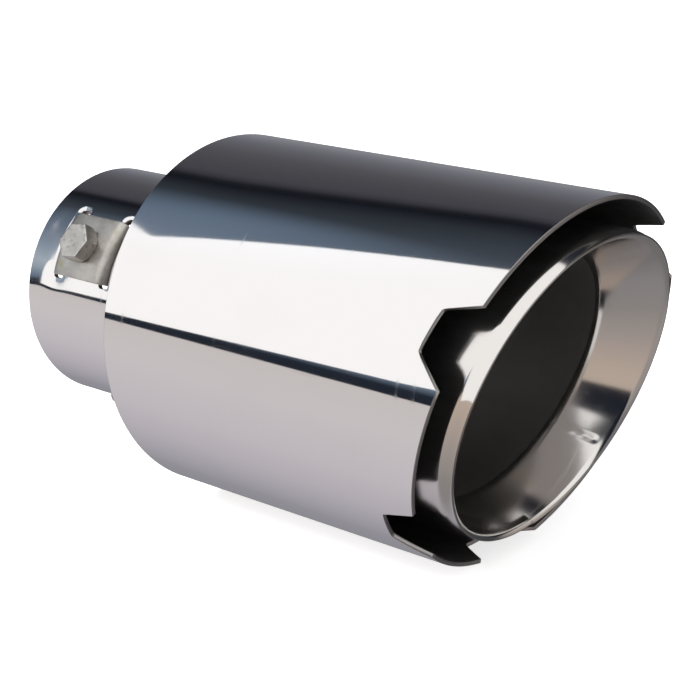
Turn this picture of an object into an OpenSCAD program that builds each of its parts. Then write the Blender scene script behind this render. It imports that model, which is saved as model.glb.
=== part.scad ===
// Double-walled exhaust tip with a slanted outlet and a clamped inlet collar.
// The tip's axis is +X, the inlet mouth is at x = 0 and the long side is at +Z.

/* [Outer shell] */
// Outside diameter of the outer shell
shell_d = 101.6; // [98:0.2:108]
// Sheet thickness of the outer shell
shell_wall = 1.2; // [0.8:0.1:1.8]
// Distance from the inlet mouth to the back edge of the shell
shell_back = 53.5; // [48:0.5:65]
// Distance from the inlet mouth to the front edge, on the axis
shell_front = 165.8; // [155:0.5:175]
// Slant of the shell's front edge
shell_slant = 17.6; // [10:0.2:22]

/* [Notches] */
// Width of a notch at the edge, twice the side of its hexagon
notch_mouth = 22.7; // [14:0.1:26]
// Angle from the long side to the upper notch on each flank
notch_upper_angle = 59; // [50:1:68]
// Angle from the long side to the lower notch on each flank
notch_lower_angle = 124.8; // [110:0.2:135]
// Angle from the long side to the notch on the short side
notch_short_angle = 180; // [176:1:184]
// Radius in the two bottom corners of a notch
notch_corner_r = 1.2; // [0.4:0.1:3]

/* [Liner] */
// Share of the room between the throat and the shell that the flare takes
flare_reach = 0.528; // [0.4:0.001:0.7]
// Distance from the inlet mouth to the rim, on the axis
rim_front = 170.9; // [160:0.1:180]
// Slant of the rim
rim_slant = 19.1; // [10:0.1:24]
// Sheet thickness of the liner
liner_wall = 1; // [0.6:0.1:1.2]
// Length of the flare, measured along the axis
flare_length = 18; // [12:0.5:22]
// Length of throat that is rounded into the flare
flare_bend = 4; // [2:0.5:8]
// Length of sheet that is turned back outside the flare
skirt_length = 24; // [20:1:30]
// Rounding of the rim's outer and inner corner
rim_round = 0.4; // [0.2:0.05:0.55]
// Length of liner that overlaps the collar tube
liner_overlap = 20; // [10:1:30]

/* [Inlet collar] */
// Outside diameter of the collar tube
collar_d = 68.6; // [64:0.1:70]
// Wall of the collar tube
collar_wall = 1.5; // [1.2:0.1:2]
// Length of the collar tube, most of it inside the shell
collar_length = 108; // [95:1:120]

/* [Rear end ring] */
// Sheet thickness of the end ring
ring_wall = 1.2; // [0.8:0.1:1.6]
// Distance that the ring's face lies inside the shell's back edge
ring_recess = 1.6; // [1:0.1:4]
// Length of the ring's flange on the collar
ring_flange = 8; // [5:0.5:14]
// Outside radius of the fold between the ring's face and its flange
ring_bend_r = 2; // [1.7:0.1:3]

/* [Welds] */
// Leg of the bead between the shell and the ring
shell_weld_leg = 1.5; // [1:0.1:2.4]
// Leg of the bead between the collar and the ring
collar_weld_leg = 2.4; // [1.5:0.1:3]
// Leg of the bead between the collar and the liner
liner_weld_leg = 1.1; // [0.6:0.1:1.5]

/* [Clamps] */
// Angle from the long side to the first clamp, towards the -Y flank
clamp_angle = 52; // [45:1:60]
// Angle from the first clamp to the one on either side of it
clamp_pitch = 113.5; // [105:0.5:125]
// Distance from the inlet mouth to the middle of a clamp
clamp_x = 22.6; // [20:0.1:26]
// Length of a strap along the collar
strap_length = 22.8; // [20:0.2:25]
// Width of a strap round the collar, in degrees
strap_sweep = 31; // [24:1:36]
// Sheet thickness of a strap
strap_wall = 1.5; // [1.2:0.1:1.9]
// Height above the collar at which a tightened bolt holds its strap
strap_lift = 0.6; // [0.1:0.1:0.9]
// Outside radius of the strap's two folds
strap_bend_r = 3; // [2.6:0.1:3.4]
// Length of a slot round the collar, in degrees
slot_sweep = 37; // [33:1:44]
// Turn of the slots towards the long side against their strap, in degrees
slot_shift = 1.2; // [0:0.1:2]
// Room between a strap's leg and each side of its slot
slot_room = 0.5; // [0.2:0.1:0.8]

/* [Clamp bolts] */
// Outside diameter of the bolt thread
bolt_d = 6; // [5:0.5:8]
// Width across the flats of the bolt head
bolt_flats = 10; // [9:0.5:13]
// Height of the bolt head
bolt_head_h = 4.8; // [3.5:0.1:6]
// Height of the bevel under the bolt head
bolt_bevel = 1.1; // [0.4:0.1:1.5]
// Turn of the first bolt head about its own axis
bolt_turn = 7; // [0:1:59]
// Further turn of each next bolt head, as they stop at different places
bolt_turn_step = 21; // [0:1:59]
// Bevel at the bolt's tip
tip_bevel = 0.8; // [0.4:0.1:1.2]
// Wall of the drawn neck that holds the bolt's thread
neck_wall = 1.4; // [1:0.1:2]
// Room round the neck in the collar's hole
neck_room = 0.5; // [0.3:0.1:1]

/* [Fits] */
// Gap between sheets that slip into each other
sheet_gap = 0.1; // [0.05:0.05:0.2]
// Gap round the bolt in its neck
thread_gap = 0.05; // [0.02:0.01:0.1]
// Distance that straps and bolts stay back from the collar's bore
bore_gap = 0.05; // [0.05:0.05:0.2]

/* [Hidden] */
$fn = 120;
shell_r = shell_d / 2;
collar_r = collar_d / 2;
bore_r = collar_r - collar_wall;
shell_rise = tan(shell_slant);
rim_rise = tan(rim_slant);
throat_r = collar_r + sheet_gap;
liner_r = throat_r + liner_wall;
rim_r = throat_r + flare_reach * (shell_r - shell_wall - throat_r);
liner_back = collar_length - liner_overlap;
ring_x = shell_back + ring_recess;
ring_r = collar_r + sheet_gap;
strap_seat_r = collar_r + strap_lift;
strap_r = strap_seat_r + strap_wall;
strap_x0 = clamp_x - strap_length / 2;
slot_w = strap_bend_r + 2 * slot_room;
neck_r = bolt_d / 2 + thread_gap + neck_wall;
tip_r = bore_r + bore_gap;
flare_back = rim_front - flare_length;
// Share of two sheets that the rim is thick, as the fold is pressed together
rim_press = 0.7;
rim_inner_r = rim_r - 2 * rim_press * liner_wall;
flare_rise = (rim_inner_r - throat_r) / (flare_length - rim_round - flare_bend / 2);
// Where the flare's back meets the sheet that is turned back from the rim
fold_back = flare_back + flare_bend / 2 + (rim_r - 2 * liner_wall - throat_r) / flare_rise;
// Side of the first clamp on which each clamp sits, one for each pair of clamp nodes
clamp_sides = [0, 1, -1];
clamp_count = len(clamp_sides);
// How far a cutting tool runs past the sheet that it cuts
cut_margin = 1;
// Half the width of a notch's cutter where it leaves the edge, and its depth in the curved wall
notch_reach = 6;
notch_half = notch_mouth / 2 + notch_reach / tan(60);
notch_sink = shell_r - sqrt(pow(shell_r - shell_wall, 2) - pow(notch_half, 2)) + cut_margin;
// Sides of the slanted rings
ring_sides = 72;
// Draws the rings so that their flat sides stay just outside the true circle
ring_swell = 1.0005 / cos(180 / ring_sides);
// Larger than the whole tip, for cutting tools
far = 400;

// Turns a section with x as radius and y as distance along the tip's axis.
// A part turn starts at the long side and goes towards the -Y flank.
module turned(sweep = 360) {
    rotate([180, 0, 0]) rotate([0, 90, 0]) rotate_extrude(angle = sweep) children();
}

// A tube on the tip's axis
module tube(x0, x1, r_out, r_in) {
    turned() translate([r_in, x0]) square([r_out - r_in, x1 - x0]);
}

// A rod on the tip's axis
module rod(x0, x1, r) {
    translate([x0, 0, 0]) rotate([0, 90, 0]) cylinder(h = x1 - x0, r = r);
}

// Everything ahead of a plane that leans back from the long side
module ahead_of(x, slant) {
    translate([x, 0, 0]) rotate([0, slant, 0]) translate([0, -far / 2, -far / 2]) cube(far);
}

// Moves a child that is drawn on the long side round the axis
module round_axis(angle) {
    rotate([angle, 0, 0]) children();
}

// Half a hexagon that opens towards +x, with rounded bottom corners
module notch_outline() {
    side = notch_mouth / 2;
    depth = side * sin(60);
    cut_back = notch_corner_r / tan(60);
    round_x = -depth + notch_corner_r;
    round_y = side / 2 - cut_back;
    polygon([
        [notch_reach, -notch_half],
        [notch_reach, notch_half],
        [-depth + cut_back * sin(60), side / 2 + cut_back / 2],
        [-depth, side / 2 - cut_back],
        [-depth, -side / 2 + cut_back],
        [-depth + cut_back * sin(60), -side / 2 - cut_back / 2]
    ]);
    for (y = [-round_y, round_y]) translate([round_x, y]) circle(r = notch_corner_r);
}

// One notch through the shell's wall, square to the slanted edge where it lies
module notch(angle) {
    round_axis(angle)
        translate([shell_front + shell_rise * shell_r * cos(angle), 0, shell_r - notch_sink])
        rotate([0, 0, -atan(shell_rise * sin(angle))])
        linear_extrude(height = notch_sink + cut_margin) notch_outline();
}

module outer_shell() {
    color("gainsboro") difference() {
        tube(shell_back, far / 2, shell_r, shell_r - shell_wall);
        ahead_of(shell_front, shell_slant);
        for (angle = [notch_upper_angle, notch_lower_angle]) {
            notch(angle);
            notch(-angle);
        }
        notch(notch_short_angle);
    }
}

// The outline of a channel: its back on y = 0 from x = 0 to w, its legs down to y = -h
module channel_outline(w, h, bend_r) {
    intersection() {
        translate([0, -h]) square([w, h]);
        union() {
            translate([0, -h]) square([w, h - bend_r]);
            translate([bend_r, -h]) square([w - 2 * bend_r, h]);
            for (x = [bend_r, w - bend_r]) translate([x, -bend_r]) circle(r = bend_r);
        }
    }
}

// A sheet that is folded into a channel
module channel(w, h, wall, bend_r) {
    difference() {
        channel_outline(w, h, bend_r);
        translate([wall, -wall]) channel_outline(w - 2 * wall, h, bend_r - wall);
    }
}

// The ring's section: a flat face, and a flange folded forward on the collar
module ring_section() {
    face_w = shell_r - shell_wall - sheet_gap - ring_r;
    translate([ring_r, ring_x]) difference() {
        mirror([0, 1]) channel(2 * face_w, ring_flange, ring_wall, ring_bend_r);
        translate([face_w, -cut_margin]) square([2 * face_w, ring_flange + 2 * cut_margin]);
    }
}

module rear_end_ring() {
    color("silver") turned() ring_section();
}

// Bead in the corner between the shell's inside and the back of the ring
module shell_weld() {
    corner_r = shell_r - shell_wall;
    color("darkgray") turned() intersection() {
        translate([corner_r, ring_x]) circle(r = shell_weld_leg);
        translate([corner_r - shell_weld_leg, ring_x - shell_weld_leg]) square(shell_weld_leg);
    }
}

// Bead in the groove between the collar and the fold of the ring
module collar_weld() {
    color("darkgray") turned() difference() {
        union() {
            intersection() {
                translate([collar_r, ring_x]) circle(r = collar_weld_leg);
                translate([collar_r, ring_x - collar_weld_leg]) square(collar_weld_leg);
            }
            translate([collar_r, ring_x]) square([ring_bend_r, ring_bend_r]);
        }
        translate([ring_r + ring_bend_r, ring_x + ring_bend_r]) circle(r = ring_bend_r);
        translate([ring_r + ring_bend_r, ring_x]) square([collar_weld_leg, ring_bend_r]);
    }
}

// Bead in the corner between the collar and the liner's back edge
module liner_weld() {
    color("darkgray") turned() intersection() {
        translate([collar_r, liner_back]) circle(r = liner_weld_leg);
        translate([collar_r, liner_back - liner_weld_leg]) square(liner_weld_leg);
    }
}

// The two slots of one clamp and the hole between them
module clamp_cuts() {
    for (x = [strap_x0 - slot_room, strap_x0 + strap_length + slot_room - slot_w])
        round_axis(-slot_shift - slot_sweep / 2) turned(slot_sweep)
            translate([bore_r - cut_margin, x]) square([collar_wall + 2 * cut_margin, slot_w]);
    translate([clamp_x, 0, bore_r - cut_margin])
        cylinder(h = collar_wall + 2 * cut_margin, r = neck_r + neck_room);
}

module inlet_collar() {
    color("gainsboro") difference() {
        tube(0, collar_length, collar_r, bore_r);
        for (i = [1 : clamp_count]) round_axis(clamp_turn(i)) clamp_cuts();
    }
}

// One ring of points on a plane with the rim's slant
function slanted_ring(x, r) =
    [for (i = [0 : ring_sides - 1])
        let (a = 360 * i / ring_sides, y = ring_swell * r * cos(a), z = ring_swell * r * sin(a))
        [x + rim_rise * z, y, z]];

// Turns a closed section round the axis, with every ring leaning like the rim
module slanted_turn(section) {
    n = len(section);
    points = [for (p = section) each slanted_ring(p[0], p[1])];
    faces = [for (i = [0 : n - 1], j = [0 : ring_sides - 1])
        let (k = (i + 1) % n, m = (j + 1) % ring_sides)
        [i * ring_sides + j, k * ring_sides + j, k * ring_sides + m, i * ring_sides + m]];
    polyhedron(points, faces, convexity = 8);
}

// Inside radius of the flare at a distance u from its start: rounded at first, then a straight cone
function flare(u) = throat_r + flare_rise * (u < flare_bend ? u * u / (2 * flare_bend) : u - flare_bend / 2);

// The sheet from the throat to the rim, and from there turned back outside as a straight skirt
module bell() {
    bend = [0, flare_bend / 2, flare_bend];
    rim = [
        [rim_front - skirt_length, rim_r],
        [rim_front - rim_round, rim_r],
        [rim_front, rim_r - rim_round],
        [rim_front, rim_inner_r + rim_round]
    ];
    inside = [for (u = [flare_length - rim_round, bend[2], bend[1], bend[0]]) [flare_back + u, flare(u)]];
    behind = [for (u = bend) [flare_back + u, flare(u) + liner_wall]];
    skirt = [[fold_back, rim_r - liner_wall], [rim_front - skirt_length, rim_r - liner_wall]];
    slanted_turn(concat(rim, inside, behind, skirt));
}

// The straight sleeve that slips over the collar tube
module sleeve() {
    difference() {
        tube(liner_back, rim_front, liner_r, throat_r);
        ahead_of(flare_back, rim_slant);
    }
}

module liner() {
    color("gainsboro") {
        sleeve();
        bell();
    }
}

// A strap on the long side: curved on the collar, both ends folded through the slots
module strap() {
    difference() {
        union() {
            round_axis(-strap_sweep / 2) turned(strap_sweep)
                translate([strap_r, strap_x0]) mirror([1, -1])
                channel(strap_length, strap_r - tip_r, strap_wall, strap_bend_r);
            translate([clamp_x, 0, tip_r]) cylinder(h = strap_seat_r + strap_wall / 2 - tip_r, r = neck_r);
        }
        translate([clamp_x, 0, tip_r - cut_margin])
            cylinder(h = strap_r - tip_r + 2 * cut_margin, r = bolt_d / 2 + thread_gap);
    }
}

// A bolt on the long side, with its head on the strap and its tip level with the bore
module bolt(turn) {
    corner_r = bolt_flats / 2 / cos(30);
    translate([clamp_x, 0, 0]) {
        intersection() {
            translate([0, 0, strap_r]) rotate([0, 0, turn]) cylinder(h = bolt_head_h, r = corner_r, $fn = 6);
            union() {
                translate([0, 0, strap_r]) cylinder(h = bolt_bevel, r1 = bolt_flats / 2, r2 = corner_r);
                translate([0, 0, strap_r + bolt_bevel]) cylinder(h = bolt_head_h, r = corner_r + cut_margin);
            }
        }
        translate([0, 0, tip_r + tip_bevel])
            cylinder(h = strap_r - tip_r - tip_bevel + bolt_bevel, r = bolt_d / 2);
        translate([0, 0, tip_r]) cylinder(h = tip_bevel, r1 = bolt_d / 2 - tip_bevel, r2 = bolt_d / 2);
    }
}

// The angle of one clamp, counted from 1
function clamp_turn(i) = clamp_angle + clamp_sides[i - 1] * clamp_pitch;

module clamp_strap(i) {
    color("darkgray") round_axis(clamp_turn(i)) strap();
}

module clamp_bolt(i) {
    color("rosybrown") round_axis(clamp_turn(i)) bolt(bolt_turn + (i - 1) * bolt_turn_step);
}

outer_shell();
rear_end_ring();
inlet_collar();
liner();
shell_weld();
collar_weld();
liner_weld();
clamp_strap(1);  // clamp_strap_1
clamp_strap(2);  // clamp_strap_2
clamp_strap(3);  // clamp_strap_3
clamp_bolt(1);  // clamp_bolt_1
clamp_bolt(2);  // clamp_bolt_2
clamp_bolt(3);  // clamp_bolt_3
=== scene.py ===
"""Exhaust tip: double-walled, cut on a slant, with a clamped inlet collar.

The tip's axis is +X, its inlet mouth is at x = 0 and its long side is at +Z. All lengths are in metres.
"""

import math

import bmesh
import bpy
from bpy.props import FloatProperty, FloatVectorProperty, IntProperty, PointerProperty
from bpy.types import Operator, Panel, PropertyGroup
from mathutils import Matrix, Vector, noise


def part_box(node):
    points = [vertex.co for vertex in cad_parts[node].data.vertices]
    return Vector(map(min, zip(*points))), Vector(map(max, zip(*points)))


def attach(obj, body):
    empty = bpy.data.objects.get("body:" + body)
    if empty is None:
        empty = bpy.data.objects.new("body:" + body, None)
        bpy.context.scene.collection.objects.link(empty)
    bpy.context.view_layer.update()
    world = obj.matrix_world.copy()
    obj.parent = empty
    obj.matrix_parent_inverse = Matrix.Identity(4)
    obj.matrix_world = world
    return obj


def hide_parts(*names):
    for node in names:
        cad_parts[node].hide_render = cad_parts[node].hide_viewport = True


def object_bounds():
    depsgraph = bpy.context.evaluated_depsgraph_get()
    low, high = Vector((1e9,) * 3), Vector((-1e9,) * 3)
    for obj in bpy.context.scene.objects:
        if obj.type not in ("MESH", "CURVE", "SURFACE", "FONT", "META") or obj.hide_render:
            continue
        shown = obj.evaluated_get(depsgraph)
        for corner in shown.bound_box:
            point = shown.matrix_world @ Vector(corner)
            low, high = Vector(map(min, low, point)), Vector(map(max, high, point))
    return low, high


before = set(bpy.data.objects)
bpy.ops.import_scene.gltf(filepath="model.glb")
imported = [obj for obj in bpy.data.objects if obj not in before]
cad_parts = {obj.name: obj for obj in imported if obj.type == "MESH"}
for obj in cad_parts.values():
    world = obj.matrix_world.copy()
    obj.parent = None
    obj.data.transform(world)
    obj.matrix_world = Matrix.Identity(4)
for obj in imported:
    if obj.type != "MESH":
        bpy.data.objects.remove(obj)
CAD_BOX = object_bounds()

bl_info = {
    "name": "Exhaust tip",
    "version": (1, 0, 0),
    "blender": (4, 5, 0),
    "location": "3D Viewport > Sidebar > Exhaust tip",
    "description": "Builds a slant-cut, double-walled exhaust tip and its studio around the packed model",
    "category": "Object",
}

MM = 0.001
TAU = math.tau
BODY = "root"
SHELL_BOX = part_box("outer_shell")
COLLAR_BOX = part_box("inlet_collar")
LINER_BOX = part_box("liner")


def amount(name, default, description):
    """A property that holds a plain number."""
    return FloatProperty(name=name, description=description, default=default)


def strips(default, description):
    """A property that holds how many flat strips a round shape is made of."""
    return IntProperty(name="Columns", description=description, default=default, min=90)


def length(name, default_mm, description):
    """A property that holds a length, given in millimetres."""
    return FloatProperty(
        name=name, description=description, default=default_mm * MM, precision=4, subtype="DISTANCE",
        unit="LENGTH",
    )


def angle(name, degrees, description):
    """A property that holds an angle, given in degrees."""
    return FloatProperty(name=name, description=description, default=math.radians(degrees), subtype="ANGLE")


def shown(red, green, blue):
    """The linear colour of what shows on screen as these values from 0 to 255."""
    levels = (red / 255, green / 255, blue / 255)
    return tuple(c / 12.92 if c <= 0.04045 else ((c + 0.055) / 1.055) ** 2.4 for c in levels)


def colour(name, values, description):
    """A property that holds a colour, given as it shows on screen."""
    return FloatVectorProperty(
        name=name, description=description, default=shown(*values), size=3, min=0, max=1, subtype="COLOR"
    )


class ShellSizes(PropertyGroup):
    """Sizes of the outer shell."""

    radius: length("Radius", SHELL_BOX[1].z / MM, "Outside radius of the shell")
    wall: length("Wall", 1.2, "Sheet thickness of the shell")
    back: length("Back edge", SHELL_BOX[0].x / MM, "Distance from the inlet mouth to the shell's back edge")
    front: length("Front edge", 165.8, "Distance from the inlet mouth to the front edge, on the axis")
    slant: angle("Slant", 17.6, "Slant of the front edge")
    notch_mouth: length("Notch width", 22.7, "Width of a notch at the edge")
    notch_corner: length("Notch corner", 1.2, "Radius in the bottom corners of a notch")
    notch_upper: angle("Upper notches", 59, "Angle from the long side to the upper notch on each flank")
    notch_lower: angle("Lower notches", 124.8, "Angle from the long side to the lower notch on each flank")
    edge_round: length("Edge rounding", 0.16, "Rounding of the cut edges")
    columns: strips(720, "Flat strips round the shell")


class LinerSizes(PropertyGroup):
    """Sizes of the liner."""

    back: length("Back edge", LINER_BOX[0].x / MM, "Distance from the inlet mouth to the liner's back edge")
    throat: length("Throat radius", 34.4, "Inside radius of the straight sleeve")
    wall: length("Wall", 1.0, "Sheet thickness of the liner")
    rim_radius: length("Rim radius", 42.3, "Outside radius of the rim")
    rim_front: length("Rim", 170.9, "Distance from the inlet mouth to the rim, on the axis")
    slant: angle("Slant", 19.1, "Slant of the rim")
    flare: length("Flare", 18.0, "Length of the flare along the axis")
    bend: length("Flare bend", 3.0, "Length of throat that is rounded into the flare")
    skirt: length("Skirt", 24.0, "Length of sheet that is turned back outside the flare")
    skirt_radius: length("Skirt radius", 42.75, "Outside radius of the turned back sheet behind the nose")
    nose: length("Nose", 4.6, "Length over which the turned back sheet leans in to the rim")
    lip: length("Lip", 2.6, "Radius that turns the flare outwards to the rim")
    lip_start: length("Lip start", 40.57, "Radius at which the flare's straight cone ends")
    seam: angle("Seam", 133, "Place of the welded seam, from the long side towards the +Y side")
    joint: angle("Rim joint", 176.5, "Place of the joint in the rim, counted the same way")
    columns: strips(720, "Flat strips round the liner")


class CollarSizes(PropertyGroup):
    """Sizes of the inlet collar and the rear end ring."""

    radius: length("Radius", 34.3, "Outside radius of the collar tube")
    wall: length("Wall", 1.5, "Wall of the collar tube")
    length: length("Length", COLLAR_BOX[1].x / MM, "Length of the collar tube")
    dent: amount("Dents", 1.0, "Strength of the dents beside the clamps")
    ring_x: length("Ring face", 55.1, "Distance from the inlet mouth to the end ring's face")
    ring_wall: length("Ring wall", 1.2, "Sheet thickness of the end ring")
    ring_flange: length("Ring flange", 8.0, "Length of the end ring's flange on the collar")
    ring_bend: length("Ring bend", 2.0, "Outside radius of the fold between face and flange")
    columns: strips(336, "Flat strips round the collar")


class ClampSizes(PropertyGroup):
    """Sizes of the three clamps: their straps, slots and bolts."""

    first: angle("First clamp", 52, "Angle from the long side to the first clamp, towards the -Y flank")
    pitch: angle("Clamp pitch", 113.5, "Angle from the first clamp to the one on either side of it")
    centre: length("Middle", 22.6, "Distance from the inlet mouth to the middle of a clamp")
    strap_length: length("Strap length", 22.8, "Length of a strap along the collar")
    strap_sweep: angle("Strap width", 31, "Width of a strap round the collar")
    strap_wall: length("Strap wall", 1.5, "Sheet thickness of a strap")
    strap_lift: length("Strap lift", 0.6, "Height above the collar at which a tightened bolt holds its strap")
    strap_bend: length("Strap bend", 3.0, "Outside radius of a strap's folds")
    slot_sweep: angle("Slot length", 37, "Length of a slot round the collar")
    slot_shift: angle("Slot turn", 1.2, "Turn of the slots towards the long side against their strap")
    slot_room: length("Slot room", 0.5, "Room between a strap's leg and each side of its slot")
    bolt: length("Bolt diameter", 6.0, "Outside diameter of the bolt thread")
    flats: length("Across flats", 10.0, "Width across the flats of the bolt head")
    head: length("Head height", 4.8, "Height of the bolt head")
    bevel: length("Head bevel", 1.1, "Height of the bevel under the bolt head")
    turn: angle("Bolt turn", 7, "Turn of the first bolt head about its own axis")
    turn_step: angle("Bolt turn step", 21, "Further turn of each next bolt head")


class Finishes(PropertyGroup):
    """Colours and polish of the metals."""

    steel: colour("Polished steel", (232, 231, 233), "Colour of the mirror polished sheet")
    liner: colour("Liner steel", (221, 219, 218), "Colour of the polished liner")
    mill: colour("Unpolished steel", (150, 149, 150), "Colour of the unpolished inner faces")
    bore: colour("Bore", (168, 166, 164), "Colour of the dull sheet inside the throat")
    strap: colour("Strap steel", (202, 199, 195), "Colour of the straps")
    bolt: colour("Bolt steel", (214, 211, 206), "Colour of the bolts")
    weld: colour("Weld", (150, 143, 136), "Colour of the weld beads")
    tint: colour("Heat tint", (186, 176, 120), "Colour of the light heat tint on the straps")
    polish: amount("Polish roughness", 0.035, "Roughness of the mirror polish")


class Studio(PropertyGroup):
    """Floor, lights and the surroundings that the polished steel mirrors."""

    floor: colour("Floor", (236, 236, 236), "Colour of the floor")
    level: amount("Room light", 0.85, "Level of the plain light from the room")
    box_level: amount("Softbox", 1.16, "Brightness of the large softbox and of the rim's card")
    room_level: amount("Mirrored room", 1.16, "Brightness of the room where the steel mirrors it")
    floor_level: amount("Floor glow", 0.62, "Glow that lifts the floor to white for the camera and the steel")
    camera_lens: amount("Lens", 100.09, "Focal length of the camera in mm")


# Distances within which a point lies on a cut, and within which two vertices become one
ON_CUT, MERGE = 1e-7, 1e-6
# Distance beside a bend at which a row of vertices keeps the sheet straight
HOLD = 1 * MM
# Dents beside a clamp, in mm: place along the axis, arc from the clamp's middle, reach in both, and slope
DENTS = [(8.5, 8.0, 4.5, 4.5, 0.045), (4.0, -6.0, 4.0, 3.5, 0.025)]
# Bead of the flare's seam: its ends along the flare, how far it fades in and out, height, spread and reach
SEAM_START, SEAM_STOP, SEAM_FADE_IN, SEAM_FADE_OUT = -2 * MM, 15.6 * MM, 2 * MM, 1.2 * MM
SEAM_HEIGHT, SEAM_SPREAD, SEAM_REACH = 0.10 * MM, 1.0 * MM, 3 * MM
# Shape of the rim's lip: length it takes up along the axis, lean of its end, and rounding of the crest
LIP_LENGTH, LIP_END, CREST_ROUND = 1.45 * MM, math.radians(62), 0.25 * MM
# Shape of the nose: how far behind the rim it ends, and the power by which it curves in
NOSE_END, NOSE_POWER = 0.35 * MM, 1.6
# How the rim departs from a true circle: its shift, and how far it is drawn in at each flank
RIM_SHIFT, RIM_SQUEEZE = Vector((0, 0.5 * MM, -0.6 * MM)), 0.4 * MM
# Step in the rim at its joint: height, sweep over which it runs out, and depth behind the rim
JOINT_STEP, JOINT_SWEEP, JOINT_DEPTH = 0.5 * MM, math.radians(14), 3 * MM
# Collar's slots: radius of their corners, width, depth and rings of the sheet that is rolled in round them
SLOT_CORNER, ROLL_WIDTH, ROLL_DEPTH, ROLL_RINGS = 1.1 * MM, 1.25 * MM, 0.70 * MM, 6
# The roll has its full depth at a slot's end nearest the long side, and elsewhere this share of it. From the
# slot's middle (0) to that end (1), it grows from this place on, over this distance
ROLL_LEAST, ROLL_FROM, ROLL_OVER = 0.12, 0.78, 0.14
# Flat strips along the collar and round a bolt, and rounding of the collar's and the straps' edges
COLLAR_ROWS, BOLT_STRIPS, COLLAR_EDGE, STRAP_EDGE = 90, 96, 0.12 * MM, 0.22 * MM
# Ripples of the weld beads, as shares of a bead's leg: how far below the full fillet, height and unevenness
BEAD_SINK, BEAD_RIPPLE, BEAD_UNEVEN = 0.07, 0.06, 0.05
# How far a ripple lags for each radian round the bead's corner, and the flat strips in each ripple
BEAD_LAG, BEAD_STRIPS = 1.1, 6
# Bevel at a bolt's end
BOLT_END = 0.8 * MM
# Rounding of a bolt head's top, in mm: how far below the top, and how far inside the hexagon
HEAD_TOP = ((0.22, 0.0), (0.07, 0.08), (0.0, 0.30), (0.0, 0.60))
# How far the clamps' metal stays out of the bore, and the end ring off the collar and the shell
BORE_ROOM, RING_ROOM = 0.05 * MM, 0.1 * MM

# Colours of the room as the steel mirrors them, from the -Y horizon (0) over the top to the +Y horizon (1)
ROOM_ABOVE = [
    (0.0, (30, 35, 44)), (0.028, (34, 40, 50)), (0.05, (100, 114, 130)), (0.11, (148, 160, 170)),
    (0.16, (162, 173, 182)), (0.24, (134, 147, 160)), (0.33, (103, 113, 126)), (0.42, (78, 85, 94)),
    (0.52, (52, 58, 65)), (0.57, (35, 39, 45)), (0.598, (20, 23, 29)), (0.615, (28, 30, 36)),
    (0.635, (56, 56, 61)), (0.656, (68, 67, 72)), (0.75, (77, 76, 80)), (0.80, (83, 82, 86)),
    (0.88, (96, 97, 103)), (0.94, (109, 111, 117)), (1.0, (122, 124, 130)),
]
# The same from the -Y horizon (0) under the tip to the +Y horizon (1)
ROOM_BELOW = [
    (0.0, (200, 194, 191)), (0.1, (203, 198, 197)), (0.3, (194, 189, 192)), (0.42, (182, 177, 182)),
    (0.52, (166, 162, 168)), (0.62, (146, 144, 150)), (0.75, (132, 132, 138)), (1.0, (124, 126, 131)),
]
# The same as ROOM_BELOW, further round to the front
ROOM_AHEAD = [
    (0.0, (196, 181, 168)), (0.08, (190, 174, 161)), (0.2, (169, 159, 153)), (0.33, (147, 142, 139)),
    (0.46, (140, 137, 138)), (0.59, (120, 116, 116)), (0.71, (112, 111, 113)), (0.85, (74, 75, 78)),
    (1.0, (60, 61, 64)),
]
# The same as ROOM_ABOVE, round to the camera: dark behind it, then a white ceiling
ROOM_CAMERA = [
    (0.0, (26, 30, 40)), (0.215, (26, 30, 40)), (0.235, (250, 249, 246)), (0.55, (250, 248, 244)),
    (0.68, (200, 194, 186)), (0.9, (190, 180, 170)), (1.0, (150, 144, 138)),
]
# Half the floor's size, the place of its middle on the axis and how far it lies below the tip, in metres
FLOOR_HALF, FLOOR_AT, FLOOR_DROP = 3.0, 0.1, 0.05 * MM
# Corners of the cards that only mirrors see, lower and upper row, in mm
SOFTBOX = (
    [
        (-335, -318, 22), (-104, -369, 64), (-20, -379, 96), (60, -388, 128), (250, -400, 280),
        (460, -420, 395),
    ],
    [
        (-275, -262, 153), (-346, -75, 376), (-240, -180, 275), (-173, -76, 454), (100, 74, 452),
        (460, 74, 560),
    ],
)
RIM_CARD = ([(172, -45, 11), (184, -45, 11)], [(172, -45, 40), (186, -45, 40)])
GLOW = ([(-330, -239, 0), (60, -239, 180)], [(-330, 60, 430), (60, 60, 610)])
# Middle and reach of the glow in mm, and its strength
GLOW_AT, GLOW_REACH, GLOW_LEVEL = (-190, -80, 295), 175, 0.2
WARM_WHITE, PALE_BLUE = (255, 253, 250), (150, 185, 220)
# The camera's place in mm, and its ways to the right, up and back
CAMERA_AT = (448.343, -360.036, 184.433)
CAMERA_WAYS = ((0.73318, 0.67592, -0.07477), (-0.18701, 0.30611, 0.93345), (0.65382, -0.67040, 0.35083))
# The key lamp's place and way, its size in metres and its power in watts
KEY_AT, KEY_WAY, KEY_SIZE, KEY_POWER = (-0.15, -0.55, 0.75), (0.25, 0.55, -0.75), (0.7, 0.5), 9.0


def settings():
    """The scene's property groups."""
    return bpy.context.scene


def put(tree, kind, sockets=None, **options):
    """Adds one node, with its options, and with a value or a link on each named input."""
    made = tree.nodes.new(kind)
    for name, value in options.items():
        setattr(made, name, value)
    for name, value in (sockets or {}).items():
        if isinstance(value, bpy.types.NodeSocket):
            tree.links.new(value, made.inputs[name])
        else:
            made.inputs[name].default_value = value
    return made


def calc(tree, operation, *values):
    """The result of a Math node."""
    return put(tree, "ShaderNodeMath", dict(enumerate(values)), operation=operation).outputs[0]


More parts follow.
